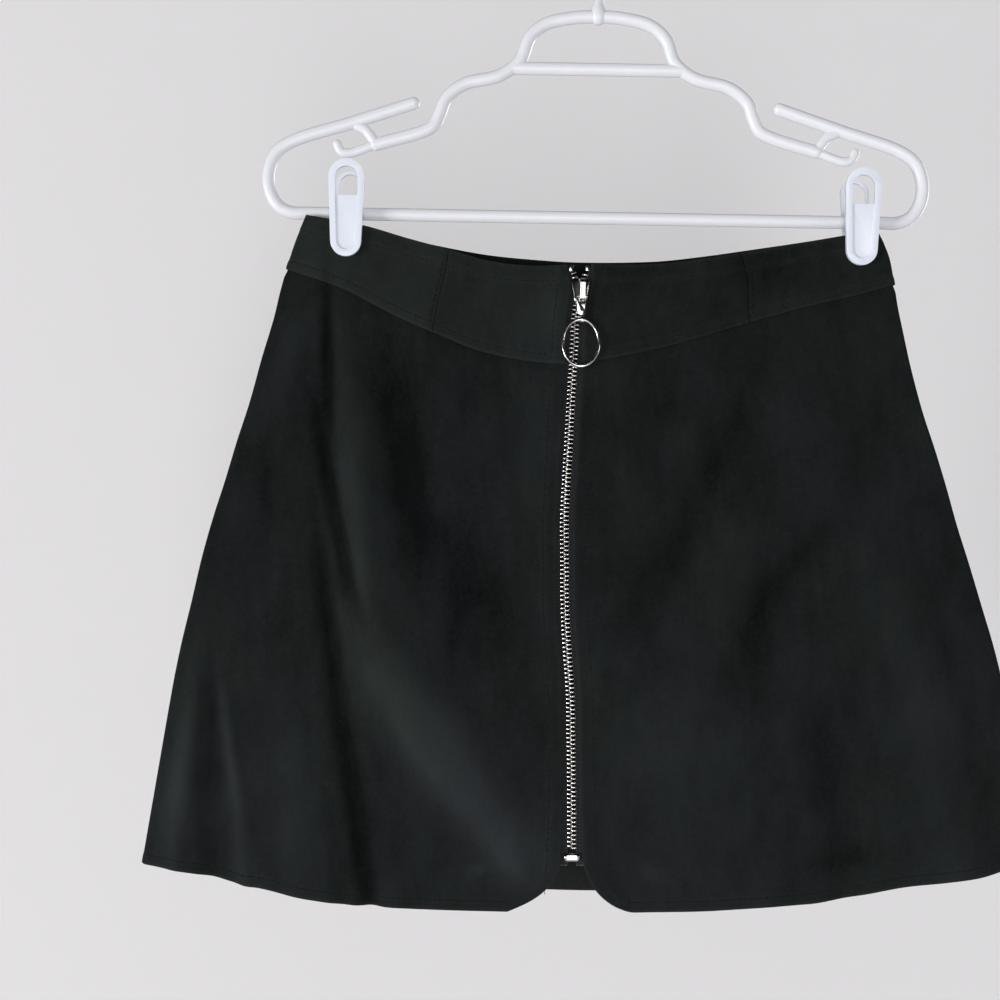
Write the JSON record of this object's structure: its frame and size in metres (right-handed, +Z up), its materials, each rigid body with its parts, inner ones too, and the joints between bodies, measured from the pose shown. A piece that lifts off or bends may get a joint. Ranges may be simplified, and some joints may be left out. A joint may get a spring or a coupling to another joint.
{
  "type": "suede mini skirt on clip hanger",
  "caption": "A-line suede mini skirt with a shaped yoke, a full-length front zip and a ring pull, hung flat from a plastic clip hanger.",
  "frame": {"origin": "the inner top of the hanger's hook, where it bears on its rail, in the middle plane of the hanger", "axes": "+Z up, +X to the viewer's right along the skirt's width, +Y from the skirt's front to its back"},
  "size_m": [0.5565, 0.0528, 0.6251],
  "materials": {
    "suede": "matte napped suede",
    "zip_tape": "matte woven tape",
    "zip_metal": "polished nickel",
    "hanger_plastic": "satin moulded",
    "clip_plastic": "gloss moulded"
  },
  "bodies": {
    "root": {"yoke_centre_left": "suede", "yoke_side_left": "suede", "front_panel_left": "suede", "yoke_centre_right": "suede", "yoke_side_right": "suede", "front_panel_right": "suede", "back_yoke": "suede", "back_panel": "suede", "zip_tape_left": "zip_tape", "zip_tape_right": "zip_tape", "zip_chain_left": "zip_metal", "top_stop_left": "zip_metal", "zip_chain_right": "zip_metal", "top_stop_right": "zip_metal", "bottom_stop": "zip_metal", "slider": "zip_metal", "hanger_arch": "hanger_plastic", "hanger_bar": "hanger_plastic", "hanger_grip": "hanger_plastic", "hanger_end_left": "hanger_plastic", "hanger_catch_left": "hanger_plastic", "hanger_branch_left": "hanger_plastic", "hanger_end_right": "hanger_plastic", "hanger_catch_right": "hanger_plastic", "hanger_branch_right": "hanger_plastic", "hanger_hook": "hanger_plastic", "clip_left_front_jaw": "clip_plastic", "clip_left_back_jaw": "clip_plastic", "clip_left_saddle": "clip_plastic", "clip_right_front_jaw": "clip_plastic", "clip_right_back_jaw": "clip_plastic", "clip_right_saddle": "clip_plastic"},
    "pull": {"pull_tab": "zip_metal"},
    "ring": {"pull_ring": "zip_metal"}
  },
  "joints": [
    {"name": "pull_swing", "type": "hinge", "parent": "root", "child": "pull", "pos_m": [-0.01323, -0.01791, -0.24255], "axis": [-1, 0, 0], "range_deg": [0, 120]},
    {"name": "ring_swing", "type": "hinge", "parent": "pull", "child": "ring", "pos_m": [-0.01323, -0.01892, -0.25712], "axis": [-1, 0, 0], "range_deg": [0, 90]}
  ]
}
